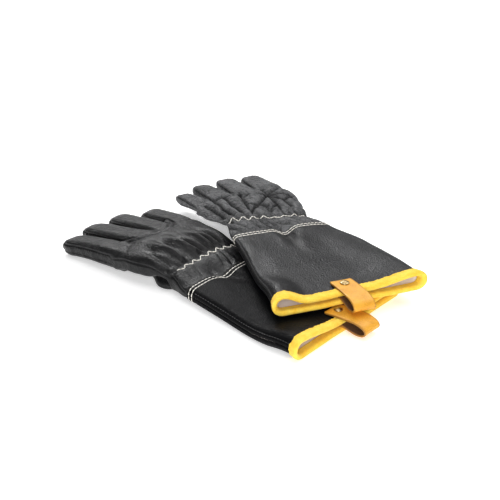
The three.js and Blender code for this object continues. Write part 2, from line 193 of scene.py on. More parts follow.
# ---- a glove's place ----
class Glove:
    """Where one of the two gloves lies, which way it is handed, and how far it is lifted off the table."""

    def __init__(self, side, flip, thumb_loop, little_loop):
        self.side = side
        self.flip = flip
        self.loops = (thumb_loop, little_loop)
        axis = JOINTS[f"{side}_index_curl"]["axis"]
        self.heading = math.atan2(-axis[0], axis[1])
        rivet = JOINTS[f"{side}_strap_swivel"]["pos_m"]
        self.lip = rivet[2] / MM
        self.origin = (
            rivet[0] / MM - RIVET_X * math.cos(self.heading),
            rivet[1] / MM - RIVET_X * math.sin(self.heading),
        )

    def lift(self, x, y):
        """How far the left glove is raised where it lies across the right one."""
        if self.side == "right":
            return 0 * x
        middle = through(x, [(CUFF_LENGTH, 17), (182, 9.5), (215, 1.5), (242, 0)])
        slope = through(x, [(0, LEFT_TILT), (CUFF_LENGTH, 0.105), (178, 0.17), (206, 0.07), (238, 0)])
        far_edge = 6 * smooth((y - 25) / 45) * window(x, 6, 64, 150, 60)
        return middle - slope * y + far_edge

    def ease(self, points):
        """Moves points, in place, to where the slack leather lies beside its pattern.

        The left glove's far cuff edge spreads and its hand draws in on the little finger's side. The right
        glove lies wider on the thumb's side, lower beside the index finger, and pulled forward at the seam.
        """
        x, y = points[:, 0].copy(), points[:, 1].copy()
        if self.side == "left":
            points[:, 1] += 3 * smooth((y - 20) / 50) * window(x, 6, 64, 150, 60)
            points[:, 1] += 7 * smooth(-y / 50) * window(x, 172, 40, 318, 60)
            return
        wide = smooth(y / 50) * smooth((x - 4) / 40) * (1 - 0.55 * smooth((x - 262) / 60))
        points[:, 1] += 5.5 * wide
        points[:, 0] += 5 * smooth(y / 50) * window(x, 90, 60, 205, 45)
        points[:, 2] -= 2.5 * smooth((y - 25) / 30) * window(x, 165, 30, 300, 50)

    def drape(self, x, y):
        """How far the back sinks where the leather buckles over the wrist's seam."""
        centre = 3 if self.side == "left" else 12
        deep = 6.5 if self.side == "left" else 4.5
        along = bump(x - 149, 26) * smooth((x - 60) / 70)
        fold = bump(y - centre - 0.18 * (x - 149), 9) + 0.45 * smooth((centre - y + 40) / 60)
        return -deep * along * (fold - 0.2)

    def droop(self, x, y):
        """How far the hand's back sinks on the little finger's side; the right one carries the left."""
        low_side = smooth((-y - 4) / 46)
        if self.side == "left":
            return -5 * low_side * window(x, 186, 26, 312, 50)
        return -5.5 * low_side * window(x, 152, 26, 258, 40)

    def turned(self, directions):
        """Directions of the glove's frame, in the row frame."""
        x, y = directions[:, 0], self.flip * directions[:, 1]
        c, s = math.cos(self.heading), math.sin(self.heading)
        return np.stack([c * x - s * y, s * x + c * y, directions[:, 2]], axis=1)

    def place(self, points):
        """Points of the glove's frame, in the row frame in metres."""
        return (self.turned(np.asarray(points, float)) + [*self.origin, 0]) * MM


# A loop is its half height, the length over which it closes into the lips, and how much the mouth draws in.
RIGHT = Glove("right", 1, (10.2, 66, 1.0), (PRESSED_LOOP_HALF, 30, 0))
LEFT = Glove("left", -1, (9.6, 62, 0), (10.8, 30, 2.5))

HAND_HALF = [(CUFF_LENGTH, WRIST_HALF), (WAIST_X, 51), (236, 58.5), (KNUCKLE_X, 57.5)]
HAND_THICK = [(CUFF_LENGTH, 8), (WAIST_X, 8), (218, 10.3), (KNUCKLE_X, 10)]
HAND_HEIGHT = [(CUFF_LENGTH, 12), (WAIST_X, 19.5), (212, 25.5), (238, 25), (KNUCKLE_X, 19.5)]
ROLL = 0.025


def roll_at(x):
    return ROLL * smooth((x - CUFF_LENGTH) / 60)


# ---- meshes ----
def add_object(name, data):
    obj = bpy.data.objects.new(name, data)
    bpy.context.scene.collection.objects.link(obj)
    return obj


def vectors(items, name):
    """One vector property of a mesh's vertices, as an (n, 3) array."""
    values = np.zeros(len(items) * 3)
    items.foreach_get(name, values)
    return values.reshape(-1, 3)


def paint(obj, name, values):
    """A number for each vertex, which a material reads as an attribute."""
    layer = obj.data.attributes.new(name, "FLOAT", "POINT")
    layer.data.foreach_set("value", np.asarray(values, np.float32))


def make(name, glove, points, faces, material):
    """A new object from points in a glove's frame. Its faces are turned to face out."""
    mesh = bpy.data.meshes.new(name)
    mesh.from_pydata([tuple(p) for p in glove.place(points)], [], [tuple(map(int, f)) for f in faces])
    solid = bmesh.new()
    solid.from_mesh(mesh)
    bmesh.ops.recalc_face_normals(solid, faces=solid.faces)
    solid.to_mesh(mesh)
    solid.free()
    mesh.polygons.foreach_set("use_smooth", [True] * len(mesh.polygons))
    mesh.materials.append(material)
    return add_object(name, mesh)


def grid_faces(rows, cols, wrap_rows, wrap_cols, first=0):
    """The four-sided faces of a grid of points, whose rows or columns may close on themselves."""
    r = np.arange(rows if wrap_rows else rows - 1)
    c = np.arange(cols if wrap_cols else cols - 1)
    r, c = [v.ravel() for v in np.meshgrid(r, c, indexing="ij")]
    r1, c1 = (r + 1) % rows, (c + 1) % cols
    return np.stack([r * cols + c, r * cols + c1, r1 * cols + c1, r1 * cols + c], axis=1) + first


def capsule_faces(rings, around, first):
    """A tube of rings with a pole at each end: points are ordered start pole, rings, end pole."""
    faces = [list(f) for f in grid_faces(rings, around, False, True, first + 1)]
    last = first + 1 + (rings - 1) * around
    for k in range(around):
        k1 = (k + 1) % around
        faces.append([first, first + 1 + k1, first + 1 + k])
        faces.append([first + 1 + rings * around, last + k, last + k1])
    return faces


def capsule_chain(pieces, around=8, flat=0.85):
    """Stitches: each piece is a (path, normals, radius) with rounded ends. Returns points and faces."""
    points, faces = [], []
    turns = np.linspace(0, 2 * math.pi, around, endpoint=False)
    for path, normals, radius in pieces:
        path = np.asarray(path, float)
        normals = np.asarray(normals, float)
        first = len(points)
        tangent = np.gradient(path, axis=0)
        tangent /= np.linalg.norm(tangent, axis=1)[:, None] + 1e-9
        side = np.cross(tangent, normals)
        side /= np.linalg.norm(side, axis=1)[:, None] + 1e-9
        up = np.cross(side, tangent)
        count = len(path)
        share = np.linspace(0, 1, count)
        plump = np.sqrt(np.clip(1 - np.abs(2 * share - 1) ** 5, 0.1, 1))
        points.append(path[0] - tangent[0] * radius * 0.5)
        for p, s, u, grow in zip(path, side, up, plump):
            for turn in turns:
                points.append(p + radius * grow * (math.cos(turn) * s + flat * math.sin(turn) * u))
        points.append(path[-1] + tangent[-1] * radius * 0.5)
        faces += capsule_faces(count, around, first)
    return np.array(points), faces


# ---- the cuff's skin ----
def cuff_half(x):
    return mix(MOUTH_HALF, WRIST_HALF, (np.clip(x, 0, CUFF_LENGTH) / CUFF_LENGTH) ** 0.87)


def half_profile(width, lip, end, taper, squareness):
    """The outline of half a flattened section, from its end to its middle, evenly spaced: how far across, how
    high above and below the middle, and the middle's own height. The underside's end is squarer."""
    q = np.linspace(0, 1, 400)
    v = width * np.cos(q * math.pi / 2)
    high = mix(lip, end, smooth((v - (width - taper - end)) / taper))
    round_from = width - 1.15 * end
    share = np.clip((v - round_from) / (width - round_from), 0, 1)
    h = high * np.sqrt(1 - share**2.1)
    low = high * np.sqrt(1 - share**squareness)
    run = np.concatenate([[0], np.cumsum(np.hypot(np.diff(v), np.diff(h)))])
    even = np.linspace(0, run[-1], QUARTER + 1)
    return [np.interp(even, run, values) for values in (v, h, low, high)], run[-1]


class CuffSkin:
    """The outer skin of a cuff as a fine grid of points and normals over x and the turn round the section.

    A turn runs from 0 at the thumb's side, over the back to 2 at the little finger's side, and under to 4."""

    def __init__(self, glove):
        self.glove = glove
        self.xs = np.linspace(-3, 156, 160)
        rings = [self.ring(x) for x in self.xs]
        self.points = np.array([ring[0] for ring in rings])
        self.quarter_length = np.array([ring[1] for ring in rings])
        self.wrinkle()
        along = np.gradient(self.points, axis=0)
        round_ = np.roll(self.points, -1, axis=1) - np.roll(self.points, 1, axis=1)
        normal = np.cross(round_, along)
        normal /= np.linalg.norm(normal, axis=2)[:, :, None]
        centre = self.points.mean(axis=1, keepdims=True)
        if ((self.points - centre) * normal).sum() < 0:
            normal = -normal
        normal[:, :, 0] = 0
        normal /= np.linalg.norm(normal, axis=2)[:, :, None]
        self.normals = normal

    def ring(self, x):
        to_wrist = float(smooth((x - LOOP_START - LOOP_LENGTH) / (CUFF_LENGTH - LOOP_START - LOOP_LENGTH)))
        closing = float(smooth((x - LOOP_START) / LOOP_LENGTH))
        wide = float(cuff_half(x))
        lip = mix(LIP_HALF, CUFF_HALF, closing)
        halves = []
        lengths = []
        for loop, taper, drawn_in in self.glove.loops:
            end = mix(loop, CUFF_HALF - 1, closing)
            across = wide - drawn_in * (1 - closing)
            squareness = mix(2.1, 6, closing) if self.glove.side == "right" else 2.1
            (v, h, low, high), length = half_profile(across, lip, end, mix(taper, 20, closing), squareness)
            middle = mix(REST + high, 12, to_wrist)
            halves.append((v, h, low, middle))
            lengths.append(length)
        (tv, th, tl, tm), (lv, lh, ll, lm) = halves
        y = np.concatenate([tv[:-1], -lv[::-1][:-1], -lv[:-1], tv[::-1][:-1]])
        h = np.concatenate([th[:-1], lh[::-1][:-1], -ll[:-1], -tl[::-1][:-1]])
        m = np.concatenate([tm[:-1], lm[::-1][:-1], lm[:-1], tm[::-1][:-1]])
        points = np.stack([np.full(len(y), x), y, m + h], axis=1)
        return points, sum(lengths) / 2

    def wrinkle(self):
        """Soft folds in the leather, the buckle at the wrist's seam, and the glove's lift off the table."""
        flat = self.points.reshape(-1, 3)
        x, y = flat[:, 0], flat[:, 1]
        back = smooth(np.tile(self.back_weight(), len(self.xs)))
        away = smooth((x - 8) / 45)
        soft = 0.8 * noise(flat, 46, 1) + 0.4 * noise(flat * [1, 1.6, 1], 24, 2)
        ridge = 0
        for line, high, wide in self.folds():
            d, t = to_line(x, y, line)
            ridge = ridge + 0.7 * high * bump(d, wide) * np.sin(math.pi * np.clip(t, 0, 1)) ** 0.7
        dz = back * (away * soft + ridge + self.glove.drape(x, y))
        lip_wave = self.lip_wave(y) * (1 - smooth((x - 4) / 34))
        flat[:, 2] += dz + lip_wave + self.glove.lift(x, y)
        self.glove.ease(flat)

    def lip_wave(self, y):
        if self.glove.side == "left":
            return 0.9 * np.sin((y + 20) / 17) * bump(y, 60)
        return 0.5 * np.sin((y - 10) / 15) * bump(y, 60)

    def back_weight(self):
        k = np.arange(4 * QUARTER)
        turn = k / QUARTER
        return np.where(turn < 2, np.minimum(turn, 2 - turn) * 6, 0)

    def folds(self):
        if self.glove.side == "left":
            return [
                ([(150, 20), (128, 8), (100, 2), (84, 6)], 1.7, 7),
                ([(150, -16), (126, -10), (104, -20)], 1.3, 7),
                ([(146, -46), (118, -52), (90, -62)], 1.1, 6),
                ([(120, 40), (86, 34), (58, 44)], 1.0, 9),
                ([(90, -30), (58, -22), (40, -34)], -0.8, 9),
                ([(142, 6), (118, -4), (96, -6)], -1.3, 6),
            ]
        return [
            ([(150, 30), (124, 36), (96, 50)], 1.4, 7),
            ([(148, 4), (122, 10), (98, 22)], -1.2, 7),
            ([(146, -24), (112, -20), (84, -30)], 1.0, 8),
            ([(110, 62), (74, 66), (44, 76)], 0.8, 6),
        ]

    def at(self, x, turn, out=0.0):
        """Points and normals at (x, turn), moved out along the normal."""
        x, turn, out = np.broadcast_arrays(*[np.asarray(v, float) for v in (x, turn, out)])
        i = np.clip((x - self.xs[0]) / (self.xs[1] - self.xs[0]), 0, len(self.xs) - 1.001)
        j = (turn % 4) * QUARTER
        i0, j0 = np.floor(i).astype(int), np.floor(j).astype(int)
        s, t = (i - i0)[..., None], (j - j0)[..., None]
        j0 = j0 % (4 * QUARTER)
        j1 = (j0 + 1) % (4 * QUARTER)

        def sample(grid):
            low = mix(grid[i0, j0], grid[i0, j1], t)
            high = mix(grid[i0 + 1, j0], grid[i0 + 1, j1], t)
            return mix(low, high, s)

        point, normal = sample(self.points), sample(self.normals)
        normal = normal / np.linalg.norm(normal, axis=-1)[..., None]
        return point + normal * out[..., None], normal

    def turn_from_side(self, x, distance):
        """How much turn a distance along the skin from a side seam is."""
        return distance / np.interp(x, self.xs, self.quarter_length)

    def perimeter(self, x):
        return 4 * float(np.interp(x, self.xs, self.quarter_length))


def sheet_round(skin, outline, turns, closed):
    """A sheet swept round the cuff: outline is a closed loop of (x, out) points. Open sheets get end caps."""
    xs = np.array([p[0] for p in outline], float)
    outs = np.array([p[1] for p in outline], float)
    points, _ = skin.at(xs[:, None], turns[None, :], outs[:, None])
    rows, cols = points.shape[:2]
    faces = [list(f) for f in grid_faces(rows, cols, True, closed)]
    if not closed:
        for k in range(rows // 2 - 1):
            a, b, c, d = [row * cols for row in (k, k + 1, rows - 2 - k, rows - 1 - k)]
            faces.append([a, d, c, b])
            end = cols - 1
            faces.append([a + end, b + end, c + end, d + end])
    return points.reshape(-1, 3), faces


def cuff_panel(skin, which, material):
    """The cuff's back or palm panel: a leather sheet whose edges turn in at the side seams."""
    start = 0 if which == "back" else 2
    turns = start + np.concatenate([[0.004], np.linspace(0.016, 1.984, 2 * QUARTER - 2), [1.996]])
    stations = np.concatenate([np.linspace(0.4, 140, 62), np.linspace(141.5, CUFF_LENGTH, 8)])
    edge = [(CUFF_LENGTH + 0.5, -0.35), (CUFF_LENGTH + 0.5, -LEATHER + 0.35)]
    outer = [(x, 0.0) for x in stations]
    inner = [(x, -LEATHER) for x in stations[::-1]]
    outline = outer + edge + inner
    points, faces = sheet_round(skin, outline, turns, False)
    near_seam = np.tile(np.minimum(turns - start, start + 2 - turns), len(outline))
    _, normals = skin.at(points[:, 0], np.tile(turns, len(outline)))
    length = np.interp(points[:, 0], skin.xs, skin.quarter_length)
    points -= normals * (0.8 * bump(near_seam * length, 1.5))[:, None]
    welt = 0.35 * bump(near_seam * length - 2.6, 1.3) - 0.4 * bump(near_seam * length - 5.2, 0.7)
    seam_rows = -0.35 * sum(bump(points[:, 0] - x, 0.9) for _, x in SEAM_ROWS)
    rolled = 0.4 * bump(points[:, 0] - 151, 1.2)
    points += normals * (welt + seam_rows + rolled)[:, None]
    return make(f"{skin.glove.side}_cuff_{which}", skin.glove, points, faces, material)


def cuff_lining(skin, material):
    stations = np.linspace(2, CUFF_LENGTH - 4, 50)
    outline = [(x, -LEATHER - 0.3) for x in stations]
    outline += [(x, -LEATHER - 0.3 - LINING) for x in stations[::-1]]
    turns = np.linspace(0, 4, 3 * QUARTER, endpoint=False)
    points, faces = sheet_round(skin, outline, turns, True)
    return make(f"{skin.glove.side}_cuff_lining_sleeve", skin.glove, points, faces, material)


def cuff_binding(skin, material):
    """A strip of split leather folded over the mouth, with a stitched groove and a raw, fuzzy edge."""
    deep = LEATHER + LINING + 0.6 + BINDING
    outside = [(BINDING_WIDTH, 0.15), (BINDING_WIDTH + 0.1, 0.85), (8.2, 1.15), (7.4, 1.2), (6.6, 0.75)]
    outside += [(5.9, 1.1), (5, 1.4), (4, 1.55), (3, 1.6), (2, 1.55), (1, 1.4), (0.1, 1.1), (-0.7, 0.5)]
    nose = [(-1.2, -0.3), (-1.35, -1.3), (-1.2, -2.3), (-0.7, -3.3)]
    inside = [(0.2, -deep), (1.4, -deep - 0.3), (3, -deep - 0.3), (5, -deep), (6.4, -deep + 0.15)]
    inside += [(7.4, -deep), (BINDING_WIDTH, -deep + 0.25), (BINDING_WIDTH, -deep + 0.9)]
    hidden = [(7, -LEATHER - LINING - 0.5), (1.2, -LEATHER - LINING - 0.5), (1.2, 0.12)]
    outline = outside + nose + inside + hidden
    count = 6 * QUARTER
    turns = np.linspace(0, 4, count, endpoint=False)
    points, faces = sheet_round(skin, outline, turns, True)
    xs = np.repeat([p[0] for p in outline], count)
    outs = np.repeat([p[1] for p in outline], count)
    around = np.tile(turns, len(outline)) * skin.perimeter(0) / 4
    _, normals = skin.at(np.clip(xs, 0, None), np.tile(turns, len(outline)))
    ring = np.stack([np.cos(around / 61.0) * 61.0, np.sin(around / 61.0) * 61.0, xs], axis=1)
    raw = (xs > 7.9) & (outs > 0)
    ragged = 0.9 * noise(ring, 2.1, 3) + 0.6 * noise(ring, 0.9, 4)
    points[:, 0] += np.where(raw, ragged, 0)
    lumps = 0.16 * noise(ring, 7, 5) + 0.08 * noise(ring, 2.4, 6)
    stitch = 0.35 * bump(xs - 6.6, 0.8) * (0.5 + 0.5 * np.cos(around * 2 * math.pi / 3.2))
    points += normals * np.where(outs > 0, lumps - stitch, 0)[:, None]
    points[:, 2] = np.maximum(points[:, 2], 0.05)
    return make(f"{skin.glove.side}_mouth_binding", skin.glove, points, faces, material)


def seam_row(skin, name, x, material):
    """One row of stitches right round the cuff's seam."""
    count = int(skin.perimeter(x) / SEAM_STEP)
    spread = np.linspace(-1, 1, 5)
    lift = THREAD * (0.55 - 0.5 * spread**2) - 0.1
    stitches = []
    for k in range(count):
        path, normals = skin.at(x, 4 * (k + 0.5 + 0.47 * spread) / count, lift)
        stitches.append((path, normals, THREAD))
    points, faces = capsule_chain(stitches)
    return make(f"{skin.glove.side}_{name}", skin.glove, points, faces, material)


def side_rows(skin, material):
    """The topstitch beside each side seam of the back panel."""
    stitches = []
    for side in (0, 2):
        for x in np.arange(11, 142, TOPSTITCH_STEP):
            xs = x + np.linspace(-1.3, 1.3, 4)
            path, normals = skin.at(xs, abs(side - skin.turn_from_side(xs, TOPSTITCH_IN)), -0.28)
            stitches.append((path, normals, TOPSTITCH))
    points, faces = capsule_chain(stitches, around=6)
    return make(f"{skin.glove.side}_side_topstitch", skin.glove, points, faces, material)


# ---- the hand and the fingers ----
def section(power, count, flat=1.06):
    """A rounded, flattened outline: how far across and up its points are, each from -1 to 1."""
    angle = np.linspace(0, 2 * math.pi, count, endpoint=False)
    c, s = np.cos(angle), np.sin(angle)
    across = np.sign(c) * np.abs(c) ** (2 / power)
    up = np.clip(np.sign(s) * np.abs(s) ** (2 / power) * flat, -1, 1)
    return across, up


def tube(rings, body):
    """Adds a closed tube through rings of points to a bmesh."""
    verts = [[body.verts.new(p) for p in ring] for ring in rings]
    count = len(rings[0])
    for low, high in zip(verts, verts[1:]):
        for k in range(count):
            body.faces.new([low[k], low[(k + 1) % count], high[(k + 1) % count], high[k]])
    body.faces.new(verts[0][::-1])
    body.faces.new(verts[-1])


def hand_rings(glove):
    """The hand's sections. The thumb's side sags towards the table behind the thumb, the left one's less.
    The left one is also drawn up along the little finger's side, and the right one is lower at its heel."""
    across, up = section(3.0, 96)
    left = glove.side == "left"
    underside = smooth((0.6 - up) / 0.9)
    rings = []
    for x in np.linspace(141, 268, 44):
        inside_cuff = 1.9 * smooth((153 - x) / 1.5)
        closing = smooth((x - 255) / 13) ** 2
        half = through(x, HAND_HALF) - inside_cuff - 7 * closing
        thick = through(x, HAND_THICK) - inside_cuff - 2.5 * closing
        middle = through(x, HAND_HEIGHT)
        y = half * across
        slack = window(x, 150, 8, 189, 9) * (0.3 if left else 1)
        sag = (middle - thick - 2.2) * slack * smooth((across - 0.3) / 0.4) * underside
        z = middle + roll_at(x) * y + thick * up - sag
        if left:
            z += 2.5 * smooth((x - 152) / 25) * smooth((-across - 0.15) / 0.55) * np.clip(-up, 0, 1)
        else:
            z -= 6 * smooth((x - 196) / 20) * smooth((across - 0.66) / 0.2) * underside
        rings.append(np.stack([np.full(len(y), x), y, z], axis=1))
    return rings


def fingers_of(glove):
    """The fingers' sizes; the left glove's bend a little, which shortens them as they lie."""
    reach, taper = (0.94, 2.6) if glove.side == "left" else (1.0, 1.2)
    fingers = {}
    for name, finger in FINGERS.items():
        lie = LIE[glove.side][name]
        tip = finger["tip"] + lie["drawn"]
        fingers[name] = {**finger, **lie, "tip": tip, "length": finger["length"] * reach, "taper": taper}
    return fingers


def finger_middle(finger, x):
    """The finger's middle line: y and z at x, and its half width and half thickness."""
    along = np.clip((x - KNUCKLE_X) / finger["length"], -0.25, 1)
    hinge = 19.5 + ROLL * finger["base"] + finger["rise"][0]
    end = 8.3 + finger["rise"][1]
    y = finger["base"] + (finger["tip"] - finger["base"]) * along
    z = mix(hinge, end, np.clip(along, 0, 1)) + 2.5 * np.clip(-along, 0, 1)
    half = finger["half"] - finger["taper"] * along
    thick = mix(9.8 - finger["slim"][0], 8.2 - finger["slim"][1], along)
    return y, z, half, thick


def finger_rings(finger):
    """A finger's sections, up to its rounded end."""
    across, up = section(3.2, 56)
    tip = KNUCKLE_X + finger["length"]
    shaft = np.linspace(248, tip - FINGERTIP, 16)
    rounding = tip - FINGERTIP * np.cos(np.linspace(0.1, 1.52, 14))
    rings = []
    for x in np.concatenate([shaft, rounding]):
        y, z, half, thick = finger_middle(finger, x)
        to_end = np.clip((x - (tip - FINGERTIP)) / FINGERTIP, 0, 1)
        narrowing = math.sqrt(max(0.0, 1 - to_end**2.1))
        wide = y + max(0.6, half * narrowing) * across
        high = z + max(0.6, thick * narrowing) * up
        rings.append(np.stack([np.full(len(wide), x), wide, high], axis=1))
    return rings


def remeshed(body, voxel, rounds):
    """A bmesh's outer skin as an even mesh: its points, faces and point normals."""
    mesh = bpy.data.meshes.new("shape")
    body.to_mesh(mesh)
    body.free()
    obj = add_object("shape", mesh)
    even = obj.modifiers.new("even", "REMESH")
    even.mode = "VOXEL"
    even.voxel_size = voxel
    soften = obj.modifiers.new("soften", "SMOOTH")
    soften.factor = 0.5
    soften.iterations = rounds
    final = obj.evaluated_get(bpy.context.evaluated_depsgraph_get()).to_mesh()
    points = vectors(final.vertices, "co")
    normals = vectors(final.vertex_normals, "vector")
    faces = [list(face.vertices) for face in final.polygons]
    bpy.data.objects.remove(obj)
    bpy.data.meshes.remove(mesh)
    return points, faces, normals


def hand_shape(glove):
    body = bmesh.new()
    tube(hand_rings(glove), body)
    for finger in fingers_of(glove).values():
        tube(finger_rings(finger), body)
    return remeshed(body, VOXEL, 7)


LEFT_STAR = (234, 26)
CREASES = {
    "left": [
        ([LEFT_STAR, (248, 16), (261, 5), (266, -14), (267, -27), (270, -42)], 1.7, 0.9),
        ([LEFT_STAR, (250, 29), (264, 31)], 1.6, 0.9),
        ([LEFT_STAR, (219, 10), (205, -5), (192, -14), (184, -15)], 1.6, 0.9),
        ([LEFT_STAR, (224, 25), (206, 23), (186, 21)], 1.5, 0.9),
        ([LEFT_STAR, (230, 40), (224, 56)], 1.5, 0.9),
        ([LEFT_STAR, (244, 40), (256, 52)], 1.2, 0.9),
        ([LEFT_STAR, (214, 36), (190, 40)], 1.2, 0.8),
        ([(261, 5), (240, -2), (222, -7), (204, -11), (190, -12)], 1.3, 0.8),
        ([(264, -14), (244, -20), (222, -25), (200, -24), (186, -26)], 1.1, 0.8),
        ([(266, -29), (246, -33), (226, -38), (204, -38), (188, -37)], 1.3, 0.8),
        ([(262, -44), (236, -46), (210, -48), (190, -45)], 1.2, 0.9),
        ([(222, -7), (214, 4), (204, 10), (188, 6)], 1.0, 0.8),
        ([(240, -2), (248, 8), (252, 14)], 0.9, 0.7),
        ([(214, 36), (222, 46), (222, 56)], 0.8, 0.7),
        ([(206, 23), (198, 12), (186, 8)], 0.9, 0.7),
    ],
    "right": [
        ([(262, 30), (250, 36), (236, 30), (218, 26)], 0.5, 1.6),
        ([(270, -26), (250, -24), (232, -20)], 0.5, 1.6),
    ],
}
# Soft folds that run up the back from the elastic: a line, and how high and wide the fold stands.
GATHERS = {
    "right": [
        ([(244, 53), (212, 50), (184, 45)], 1.5, 4.5),
        ([(226, 40), (206, 38), (184, 35)], 1.9, 3.6),
        ([(246, 33), (214, 29), (184, 26)], 2.0, 4.6),
        ([(222, 20), (202, 18), (184, 16)], 1.3, 3.0),
        ([(240, 12), (210, 10), (184, 7)], 2.1, 4.4),
        ([(220, -2), (202, -3), (184, -4)], 1.4, 3.2),
        ([(236, -12), (210, -12), (184, -15)], 1.8, 4.2),
        ([(222, -25), (204, -25), (184, -26)], 1.4, 3.4),
        ([(236, -38), (210, -37), (184, -37)], 1.6, 4.0),
    ],
    "left": [
        ([(214, 45), (198, 44), (184, 42)], 0.9, 3.2),
        ([(208, 31), (196, 31), (184, 31)], 1.0, 3.0),
        ([(206, 14), (196, 15), (184, 15)], 1.0, 3.4),
        ([(210, -4), (198, -5), (184, -5)], 1.0, 3.0),
        ([(216, -18), (200, -19), (184, -20)], 1.4, 3.2),
        ([(236, -30), (208, -32), (184, -31)], 1.9, 3.8),
        ([(246, -44), (212, -44), (184, -42)], 2.1, 4.0),
    ],
}
WELT = [(270, 31), (258, 25), (247, 8), (244, -12), (254, -26), (268, -31)]


def crackle(p, size, sharp, seed):
    """Thin creases along the places where smooth noise changes sign: 1 in a crease, 0 away from it."""
    return np.exp(-np.abs(noise(p, size, seed)) / sharp)


def back_relief(glove, p, back):
    """How far the back of the hand stands up or sinks, before the fine wrinkles."""
    x, y = p[:, 0], p[:, 1]
    left = glove.side == "left"
    stray = 1.0 if left else 2.0
    wander_x = x + stray * noise(p, 15, 7)
    wander_y = y + stray * noise(p, 15, 8)
    height = np.zeros(len(p))
    nearest = np.full(len(p), 12.0)
    for line, deep, wide in CREASES[glove.side]:
        d, t = to_line(wander_x, wander_y, line)
        fade = smooth((1 - t) / 0.25) * smooth((t + 0.25) / 0.3)
        height -= (2.1 if left else 1.5) * deep * np.exp(-d / wide) * fade
        nearest = np.minimum(nearest, d + 12 * (1 - fade))
    for line, high, wide in GATHERS[glove.side]:
        d, t = to_line(wander_x, wander_y, line)
        fold = bump(d, wide) - 0.6 * bump(d - 1.8 * wide, 0.7 * wide)
        height += (1.0 if left else 1.9 * smooth((x - WAIST_X - 2) / 9)) * high * smooth(t * 1.6) * fold
    if left:
        panel = window(x, 186, 10, 292, 20)
        height += 2.4 * (smooth(nearest / 5.5) - 0.6) * panel
        height -= 1.0 * crackle(p * [0.3, 1.3, 1], 13, 0.09, 33) * panel
        height -= 0.9 * crackle(p * [0.7, 1.3, 1], 15, 0.07, 21) * panel
        height -= 0.6 * crackle(p * [0.8, 1.4, 1], 7, 0.10, 22) * panel
    else:
        d, _ = to_line(x, y, WELT)
        height += 1.1 * bump(d, 1.6) - 1.0 * bump(d - 2.9, 1.0) * smooth((x - 242) / 4)
        height += 0.8 * noise(p * [0.6, 1, 1], 26, 24) * smooth((x - 200) / 20)
        height -= 0.3 * crackle(p * [1, 1.4, 1], 12, 0.08, 25) * smooth((x - 225) / 15)
    return (height + elastic_relief(left, p)) * back


def elastic_relief(left, p):
    """The waist drawn in by its elastic, its pleats, and the lobes the leather makes behind it."""
    x, y = p[:, 0], p[:, 1]
    pleat = np.cos(2 * math.pi * (y / 8.6 + 0.35 * noise(p * [0.2, 1, 0.2], 21, 9)))
    pleat = (1.0 if left else 0.55) * pleat * bump(x - WAIST_X - 3, 7) * smooth(np.abs(x - WAIST_X) / 3)
    lean = y / 13 + 0.03 * (x - WAIST_X) + 0.5 * noise(p, 25, 10)
    lobes = (np.abs(np.cos(math.pi * lean)) - 0.6) * window(x, 153, 4, WAIST_X, 5)
    lobes = lobes * (3.0 if left else 1.9 * (0.6 + 0.6 * noise(p, 30, 23)))
    return pleat + lobes - 1.7 * bump(x - WAIST_X, 4.5)


def finger_relief(glove, p):
    """Seams along both sides of every finger, where the back and the palm meet the side strips."""
    x, y, z = p.T
    height = np.zeros(len(p))
    # groove gathers the painted shade that the finger seams get.
    groove = np.zeros(len(p))
    for finger in fingers_of(glove).values():
        my, mz, half, _ = finger_middle(finger, x)
        mine = (np.abs(y - my) < half + 1.5) & (x > 258)
        fade = smooth((x - 258) / 12)
        tip = KNUCKLE_X + finger["length"]
        up = (z - mz) - FINGER_BACK + 0.5 * noise(p, 14, 26)
        side = smooth((np.abs(y - my) / half - 0.6) / 0.2)
        end = smooth((x - (tip - 9)) / 5)
        seam = np.exp(-np.abs(up) / 0.9) * np.maximum(side, end)
        lower = np.exp(-np.abs(up + FINGER_SIDE) / 0.8) * np.maximum(side, end)
        pucker = 1 + 0.4 * np.cos(x * 2 * math.pi / 3.3 + 2 * noise(p, 9, 27))
        height += np.where(mine, -(2.5 * seam * pucker + 1.5 * lower) * fade, 0)
        rim = 0.8 * bump(up - 2.2, 1.3) * side
        between = np.clip(-up / 2, 0, 1) * np.clip((up + FINGER_SIDE) / 2, 0, 1) * side
        gathered = 0.5 * noise(p * [1.6, 1, 0.6], 6, 28) - 0.7
        height += np.where(mine, (rim + gathered * between) * fade, 0)
        groove += np.where(mine, (seam + lower) * fade, 0)
    return height, groove


def shaped_hand(glove, shape):
    """The remeshed hand with its folds, creases and seams, in the glove's own frame: points, faces, and how
    much painted shade its creases and finger seams get."""
    points, faces, normals = shape
    x, y = points[:, 0], points[:, 1]
    left = glove.side == "left"
    upward = smooth((normals[:, 2] + 0.15) / 0.6)
    relief = back_relief(glove, points, upward * smooth((300 - x) / 40))
    seam, groove = finger_relief(glove, points)
    crumple = 0.13 * noise(points, 5.5, 12) + 0.10 * noise(points, 2.6, 13)
    fine = 0.3 * noise(points, 13, 11) + (1.4 if left else 0.9) * crumple
    if left:
        fine -= 0.45 * crackle(points * [0.8, 1.4, 1], 11, 0.08, 29) * smooth((x - 260) / 20) * upward
        fine -= 0.25 * crackle(points, 5, 0.1, 30) * upward
    else:
        fine -= 0.22 * crackle(points * [1.3, 0.8, 1], 9, 0.08, 31) * smooth((x - 262) / 15)
    height = relief + seam + (fine + side_seam(points)) * smooth((x - 152) / 6)
    shaped = points + normals * height[:, None]
    shaped[:, 2] += (glove.drape(x, y) + glove.droop(x, y)) * upward + glove.lift(x, y)
    glove.ease(shaped)
    shaped[:, 2] = np.maximum(shaped[:, 2], 0.15)
    # The last value is painted shade: how dark the leather is painted in the creases and finger seams.
    return shaped, faces, np.clip(-relief * 0.45 + groove, 0, 1)


